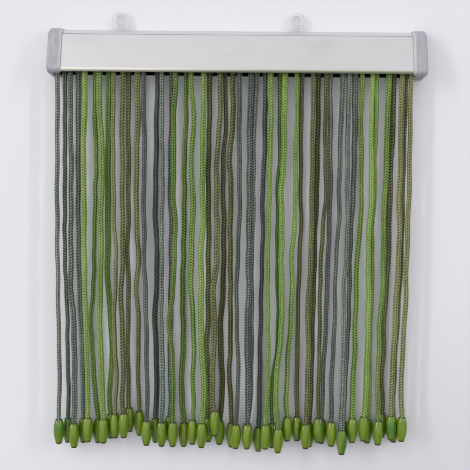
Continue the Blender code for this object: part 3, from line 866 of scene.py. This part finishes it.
def bead_rings():
    """The turned bead's section as (height, radius), up its outside and down its bore."""
    section = (
        # share of the length, radius in millimetres
        (0.0, 2.35),
        (0.012, 2.5),
        (0.05, 2.72),
        (0.12, 3.14),
        (0.22, 3.66),
        (0.34, 4.09),
        (0.47, 4.33),
        (0.6, 4.33),
        (0.73, 4.1),
        (0.84, 3.7),
        (0.92, 3.26),
        (0.975, 2.86),
        (0.995, 2.6),
        (1.0, 2.4),
        (0.985, 2.12),
        (0.5, 2.05),
        (0.012, 2.08),
    )
    return [(share * BEAD_LENGTH, radius * MM) for share, radius in section]


def make_bead_pattern():
    """A bead by the lathe: a ring drawn up, out, in and down again, and closed on itself."""
    rings = bead_rings()
    deselect()
    bpy.ops.mesh.primitive_circle_add(vertices=BEAD_SIDES, radius=rings[0][1])
    bead = bpy.context.object
    open_mesh(bead)
    for (height, radius), (after, wider) in zip(rings, rings[1:]):
        bpy.ops.mesh.extrude_region_move(TRANSFORM_OT_translate={"value": (0, 0, after - height)})
        bpy.ops.transform.resize(value=(wider / radius, wider / radius, 1))
    bpy.ops.mesh.select_all(action="DESELECT")
    bpy.ops.mesh.select_non_manifold()
    bpy.ops.mesh.bridge_edge_loops()
    bpy.ops.mesh.select_all(action="SELECT")
    bpy.ops.mesh.normals_make_consistent(inside=False)
    close_mesh()
    return bead


def make_bead(pattern, number, material):
    rng = random.Random(500 + number)
    cord = Cord(number)
    bead = bpy.data.objects.new("bead", pattern.data.copy())
    bpy.context.scene.collection.objects.link(bead)
    sideways, forwards = [math.radians(rng.uniform(-most, most)) for most in BEAD_LEANS]
    lean = Matrix.Rotation(sideways, 4, "Y") @ Matrix.Rotation(forwards, 4, "X")
    spin = Matrix.Rotation(rng.uniform(0, 2 * math.pi), 4, "Z")
    hang = Matrix.Translation((cord.bead_x, -cord.bead_depth, cord.bead_top))
    drop = Matrix.Translation((0, 0, -BEAD_LENGTH))
    bead.matrix_world = hang @ lean @ drop @ spin
    settle(bead)
    stain = bead.data.attributes.new("stain", "FLOAT", "POINT")
    stain.data.foreach_set("value", [rng.random()] * len(bead.data.vertices))
    up = bead.data.attributes.new("up", "FLOAT", "POINT")
    heights = [vertex.co.z / BEAD_LENGTH for vertex in pattern.data.vertices]
    up.data.foreach_set("value", heights)
    return finish_piece(bead, f"bead_{number:02d}_turned", material, [f"bead_{number:02d}"], 60)


def groove_painted_shade(finish, across, depth, height):
    """1 in the groove under the shoulder towards the rail's left end, where shade is painted."""
    groove_shade = finish.between(height, GROOVE_LOW - GROOVE_BLUR, GROOVE_LOW + GROOVE_BLUR)
    groove_shade = groove_shade * finish.between(height, GROOVE_TOP + GROOVE_BLUR, GROOVE_TOP - GROOVE_BLUR)
    groove_shade = groove_shade * finish.between(depth, -RAIL_TOP_DEPTH, -0.9 * SHOULDER_DEPTH)
    return groove_shade * finish.between(across, *GROOVE_SHADE_SPAN)


def channel_shade(finish, depth, height):
    """1 on the surfaces inside the rail, which are painted near black as shade, and 0 on its outer skin."""
    skin = depth + SHOULDER_DEPTH + (FACE_TOP - height) * FACE_LEAN
    inside = finish.between(skin, 0.5 * RAIL_WALL, 0.9 * RAIL_WALL)
    inside = inside * finish.between(depth, -0.5 * RAIL_WALL, -0.9 * RAIL_WALL)
    inside = inside * finish.between(depth, -LIP_END_DEPTH, -LIP_END_DEPTH + 0.4 * MM)
    inside = inside * finish.between(height, LIP_UNDERSIDE - 1.1 * MM, LIP_UNDERSIDE - 0.6 * MM)
    return inside * finish.between(height, FACE_TOP, FACE_TOP - RAIL_WALL)


def anodised_aluminium():
    """Satin metal with drawn lines, a painted highlight on the shoulder, a painted reflection and highlight
    on its lower edge, painted shade in the groove and painted black shade inside.
    """
    finish = Finish("anodised_aluminium", {"Metallic": 1.0})
    lines = finish.noise(finish.coordinates(scale=(6, 900, 900)), 1.0, detail=4.0, roughness=0.6)
    broad = finish.noise(finish.coordinates(scale=(9, 30, 30)), 1.0, detail=2.0)
    smudge = finish.between(finish.noise(finish.coordinates(scale=(22, 22, 40)), 1.0, detail=3.0), 0.55, 0.75)
    pale = finish.mix(broad, (0.595, 0.586, 0.588, 1), (0.65, 0.642, 0.645, 1))
    streaked = finish.mix(lines * 0.25, pale, (0.53, 0.525, 0.52, 1))
    worn = finish.mix(smudge * 0.07, streaked, (0.43, 0.415, 0.35, 1))
    across, depth, height = finish.place()
    # Painted highlight: the shoulder is painted brighter, for the light it catches from above.
    shoulder = finish.between(height, FACE_TOP - 0.4 * MM, FACE_TOP - 0.1 * MM)
    shoulder_painted_highlight = finish.mix(shoulder, worn, (0.75, 0.75, 0.755, 1))
    # Painted reflection and highlight on the rolled lower edge: a dim greenish painted reflection of the
    # cords all along it, and a bright painted highlight towards the left end.
    edge = finish.between(height, LIP_UNDERSIDE + 3.0 * MM, LIP_UNDERSIDE + 1.8 * MM)
    leftward = finish.between(across, *EDGE_HIGHLIGHT_SPAN)
    edge_painted_reflection = finish.mix(edge * 0.7, shoulder_painted_highlight, (0.50, 0.51, 0.34, 1))
    edge_painted_highlight = finish.mix(edge * leftward * 0.9, edge_painted_reflection, (0.92, 0.90, 0.80, 1))
    # Painted shade in the groove under the shoulder, towards the left end.
    groove_shade = groove_painted_shade(finish, across, depth, height)
    groove_shaded = finish.mix(groove_shade * 0.65, edge_painted_highlight, (0.34, 0.34, 0.35, 1))
    # Painted shade: the inside of the channel is painted near black.
    channel = channel_shade(finish, depth, height)
    channel_painted_black_shade = finish.mix(channel, groove_shaded, (0.012, 0.012, 0.013, 1))
    grain = finish.bump(lines, 0.12, 0.02 * MM)
    rough = 0.5 + lines * 0.1 + smudge * 0.06 + channel * 0.3
    return finish.wear(base_color=channel_painted_black_shade, roughness=rough, normal=grain)


def moulded_grey():
    finish = Finish("moulded_grey_plastic", {"IOR": 1.48})
    place = finish.coordinates(scale=(1000, 1000, 1000))
    grain = finish.noise(place, 1.6, detail=3.0)
    cloud = finish.noise(place, 0.12, detail=2.0)
    flow = finish.noise(finish.coordinates(scale=(420, 420, 75)), 1.0, detail=2.0)
    base = finish.mix(cloud, (0.31, 0.315, 0.345, 1), (0.37, 0.375, 0.40, 1))
    flowed = finish.mix(finish.between(flow, 0.42, 0.68) * 0.55, base, (0.45, 0.46, 0.50, 1))
    speckled = finish.mix(finish.between(grain, 0.35, 0.75) * 0.2, flowed, (0.46, 0.46, 0.48, 1))
    # Painted highlight: the chamfer round the cap's mouth is painted paler, for the light it catches.
    across = finish.maths("ABSOLUTE", finish.place()[0])
    mouth = RAIL_LENGTH / 2 + CAP_CLEARANCE + CAP_PLATE - CAP_WIDTH
    rim = finish.between(across, mouth + 1.1 * CAP_RIM, mouth + 0.7 * CAP_RIM)
    rim_painted_highlight = finish.mix(rim * 0.6, speckled, (0.56, 0.56, 0.57, 1))
    bump = finish.bump(grain, 0.25, 0.05 * MM)
    return finish.wear(base_color=rim_painted_highlight, roughness=0.42 + grain * 0.2, normal=bump)


def clear_moulding():
    finish = Finish("clear_moulding", {"IOR": 1.49})
    rim = finish.node("ShaderNodeLayerWeight", None, {"Blend": 0.35}, output=1)
    haze = finish.noise(finish.coordinates(scale=(1000, 1000, 1000)), 0.07, detail=1.0)
    tint = finish.mix(haze, (0.72, 0.72, 0.715, 1), (0.80, 0.80, 0.79, 1))
    # Painted shade: the base colour is darker grey where the surface is seen edge-on.
    edges_painted_shade = finish.mix(rim, tint, (0.50, 0.51, 0.53, 1))
    return finish.wear(base_color=edges_painted_shade, roughness=0.24 + haze * 0.08, alpha=0.22 + rim * 0.75)


def knitted_yarn(name, dark, middle, light):
    """Yarn in raised legs, with painted highlights on the crests, painted shade between them, and painted
    light towards the sides with painted shade in the middle.
    """
    finish = Finish(f"knitted_yarn_{name}", {"Sheen Weight": 0.25, "Sheen Roughness": 0.4})
    chart = finish.node("ShaderNodeUVMap", {"uv_map": "knit"})
    around = finish.node("ShaderNodeSeparateXYZ", None, {0: chart}, output=0)
    along = finish.node("ShaderNodeSeparateXYZ", None, {0: chart}, output=1)
    column = around * KNIT_COLUMNS
    across_leg = finish.maths("FRACT", along)
    down_leg = finish.maths("FRACT", column)
    crest = finish.maths("SINE", across_leg * math.pi)
    tuck = finish.maths("SINE", down_leg * math.pi)
    leg = {0: finish.maths("FLOOR", column), 1: finish.maths("FLOOR", along)}
    cell = finish.node("ShaderNodeCombineXYZ", None, leg)
    chance = finish.node("ShaderNodeTexWhiteNoise", {"noise_dimensions": "3D"}, {"Vector": cell})
    fibre_place = finish.node("ShaderNodeCombineXYZ", None, {0: column * 1.5, 1: along * 9.0})
    fibre = finish.noise(fibre_place, 1.0, detail=3.0, roughness=0.6)
    patch = finish.noise(finish.coordinates(scale=(60, 60, 22)), 1.0, detail=2.0)
    shade = finish.attribute("shade")
    # Painted light towards the sides of the curtain and painted shade in its middle.
    sides_painted_light = finish.between(finish.maths("ABSOLUTE", finish.place()[0]), *SIDE_LIGHT_SPAN)

    # Painted light and shade: the crests of the legs are painted paler and the hollows between them darker.
    crest_painted_light = finish.between(crest * (0.45 + tuck * 0.55), 0.15, 0.95)
    tone = crest_painted_light * 0.7 + chance * 0.14 + fibre * 0.3 + (patch - 0.5) * 0.5 + (shade - 0.5) * 0.3 - 0.1
    tone = tone + (sides_painted_light - 0.5) * 0.16
    body = finish.mix(finish.between(tone, 0.0, 0.55), dark, middle)
    lit = finish.mix(finish.between(tone, 0.5, 1.1), body, light)
    bump = finish.bump(fibre, 0.5, 0.12 * MM)
    return finish.wear(base_color=lit, roughness=0.72 + fibre * 0.2, normal=bump)


def lacquered_wood():
    """Stained and lacquered beech: lime with greener patches, darker at the foot, painted shade at the top
    where the cord enters, and a gloss coat.
    """
    lacquer = {"Coat Roughness": 0.18, "Coat IOR": 1.6, "Coat Tint": (0.62, 0.70, 0.32, 1)}
    finish = Finish("lacquered_wood", {"Specular IOR Level": 0.15, **lacquer})
    stain = finish.attribute("stain")
    up = finish.attribute("up")
    grain = finish.noise(finish.coordinates(scale=(900, 900, 90)), 1.0, detail=4.0, roughness=0.6)
    rays = finish.noise(finish.coordinates(scale=(260, 260, 40)), 1.0, detail=2.0)
    patch = finish.noise(finish.coordinates(scale=(90, 90, 60)), 1.0, detail=1.0)
    lime = finish.mix(rays, (0.17, 0.275, 0.003, 1), (0.30, 0.395, 0.008, 1))
    green = finish.mix(rays, (0.06, 0.20, 0.02, 1), (0.12, 0.30, 0.035, 1))
    body = finish.mix(finish.between(patch + stain * 0.3, 0.7, 0.95), lime, green)
    grained = finish.mix(finish.between(grain, 0.42, 0.75) * 0.5, body, (0.06, 0.09, 0.004, 1))
    # Darker at the foot, and painted shade at the top where the cord enters the bead.
    low_end = finish.between(up, 0.11, 0.03)
    top_painted_shade = finish.between(up, 0.93, 1.0)
    ended = finish.mix(low_end * 0.85 + top_painted_shade * 0.6, grained, (0.012, 0.025, 0.004, 1))
    bump = finish.bump(grain, 0.12, 0.04 * MM)
    coat = 1.0 - low_end * 0.6
    return finish.wear(base_color=ended, roughness=0.4 + grain * 0.15, coat_weight=coat, normal=bump)


def tape_webbing():
    finish = Finish("tape_webbing", {"Roughness": 0.9})
    weave = finish.noise(finish.coordinates(scale=(1500, 600, 600)), 1.0, detail=2.0)
    dark = finish.mix(weave, (0.012, 0.013, 0.015, 1), (0.04, 0.042, 0.046, 1))
    return finish.wear(base_color=dark, normal=finish.bump(weave, 0.5, 0.1 * MM))


def backdrop_paint(name, one_sided):
    """Matt paint for the stage, with painted shade towards the lower right. A one-sided sheet isn't there
    when it is seen from behind.
    """
    finish = Finish(name, {"Roughness": 0.95, "Specular IOR Level": 0.2})
    cloud = finish.noise(finish.coordinates(scale=(4, 4, 4)), 1.0, detail=2.0)
    backdrop_unshaded = finish.mix(cloud, (0.74, 0.735, 0.765, 1), (0.79, 0.785, 0.81, 1))
    across, _, height = finish.place()
    # Painted shade: the paint darkens towards the lower right, where the light falls off.
    colour = finish.mix(finish.between(across * 0.5 - height, 0.22, 0.47), backdrop_unshaded, (0.66, 0.655, 0.68, 1))
    material = finish.wear(base_color=colour)
    if one_sided:
        behind = finish.node("ShaderNodeNewGeometry", output=6)
        clear = finish.node("ShaderNodeBsdfTransparent")
        paint = Value(finish, finish.shader.outputs[0])
        mixed = finish.node("ShaderNodeMixShader", None, {0: behind, 1: paint, 2: clear})
        finish.feed(finish.tree.nodes["Material Output"].inputs["Surface"], mixed)
    return material


def make_stage():
    """A pale upright sheet behind the curtain, a floor below it, and soft light."""
    deselect()
    bpy.ops.mesh.primitive_plane_add(size=1, location=BACKDROP_PLACE, rotation=(math.pi / 2, 0, 0))
    wall = bpy.context.object
    wall.name = "stage_wall"
    wall.scale = BACKDROP_SIZE
    settle(wall)
    wall.data.materials.append(backdrop_paint("wall_paint", one_sided=True))
    wall.visible_shadow = False
    deselect()
    bpy.ops.mesh.primitive_plane_add(size=FLOOR_SIZE, location=FLOOR_PLACE)
    floor = bpy.context.object
    floor.name = "stage_floor"
    floor.data.materials.append(backdrop_paint("floor_paint", one_sided=False))
    floor.visible_diffuse = False
    floor.visible_glossy = False
    floor.visible_shadow = False
    make_sky()
    for name, place, size, power in LAMPS:
        area_light(name, place, size, power)
    scene = bpy.context.scene
    scene.view_settings.view_transform = "Standard"
    scene.cycles.filter_width = 1.0
    scene.cycles.denoising_prefilter = "NONE"


def make_sky():
    """Soft light from all round, strongest from the front left and a little above, weak from below."""
    world = bpy.data.worlds.new("studio")
    world.use_nodes = True
    nodes = Nodes(world.node_tree)
    direction = nodes.node("ShaderNodeTexCoord")
    both = {0: direction, 1: BRIGHT_SKY.normalized()}
    towards = nodes.node("ShaderNodeVectorMath", {"operation": "DOT_PRODUCT"}, both, output=1)
    height = nodes.node("ShaderNodeSeparateXYZ", None, {0: direction}, output=2)
    glow = nodes.between(towards, -0.1, 0.9)
    above = nodes.between(height, -0.65, 0.2)
    top = nodes.between(height, 0.4, 0.8)
    sky = nodes.tree.nodes["Background"]
    nodes.feed(sky.inputs["Color"], (0.975, 0.97, 1.0, 1))
    nodes.feed(sky.inputs["Strength"], (0.265 + glow * 0.92) * (0.5 + above * 0.5) * (1.0 + top * 0.2))
    bpy.context.scene.world = world


def area_light(name, place, size, power):
    lamp = bpy.data.lights.new(name, "AREA")
    lamp.shape = "RECTANGLE"
    lamp.size, lamp.size_y = size
    lamp.energy = power
    obj = bpy.data.objects.new(name, lamp)
    obj.location = place
    aim = LAMPS_AIM - Vector(place)
    obj.rotation_euler = aim.to_track_quat("-Z", "Y").to_euler()
    bpy.context.scene.collection.objects.link(obj)


def make_camera():
    camera_data = bpy.data.cameras.new("camera")
    camera_data.angle = 2 * math.atan(FRAME_PIXELS / 2 / FOCAL_PIXELS)
    camera_data.clip_start = 0.01
    camera = bpy.data.objects.new("camera", camera_data)
    bpy.context.scene.collection.objects.link(camera)
    ahead = Vector((
        math.sin(CAMERA_YAW) * math.cos(CAMERA_PITCH),
        math.cos(CAMERA_YAW) * math.cos(CAMERA_PITCH),
        -math.sin(CAMERA_PITCH),
    ))
    level_right = Vector((math.cos(CAMERA_YAW), -math.sin(CAMERA_YAW), 0))
    level_up = level_right.cross(ahead)
    right = level_right * math.cos(CAMERA_ROLL) + level_up * math.sin(CAMERA_ROLL)
    up = level_up * math.cos(CAMERA_ROLL) - level_right * math.sin(CAMERA_ROLL)
    turn = Matrix((right, up, -ahead)).transposed().to_4x4()
    camera.matrix_world = Matrix.Translation(CAMERA_PLACE) @ turn
    bpy.context.scene.camera = camera


def main():
    make_camera()
    yarns = {name: knitted_yarn(name, *shades) for name, shades in YARNS.items()}
    make_rail(anodised_aluminium())
    grey = moulded_grey()
    clear = clear_moulding()
    for side in ("left", "right"):
        make_cap(side, grey)
        make_tab(side, clear)
    make_tape(tape_webbing())
    pattern = make_bead_pattern()
    lacquer = lacquered_wood()
    for number in range(1, len(CORDS) + 1):
        make_cord(number, yarns)
        make_bead(pattern, number, lacquer)
    bpy.data.objects.remove(pattern, do_unlink=True)
    make_stage()


main()
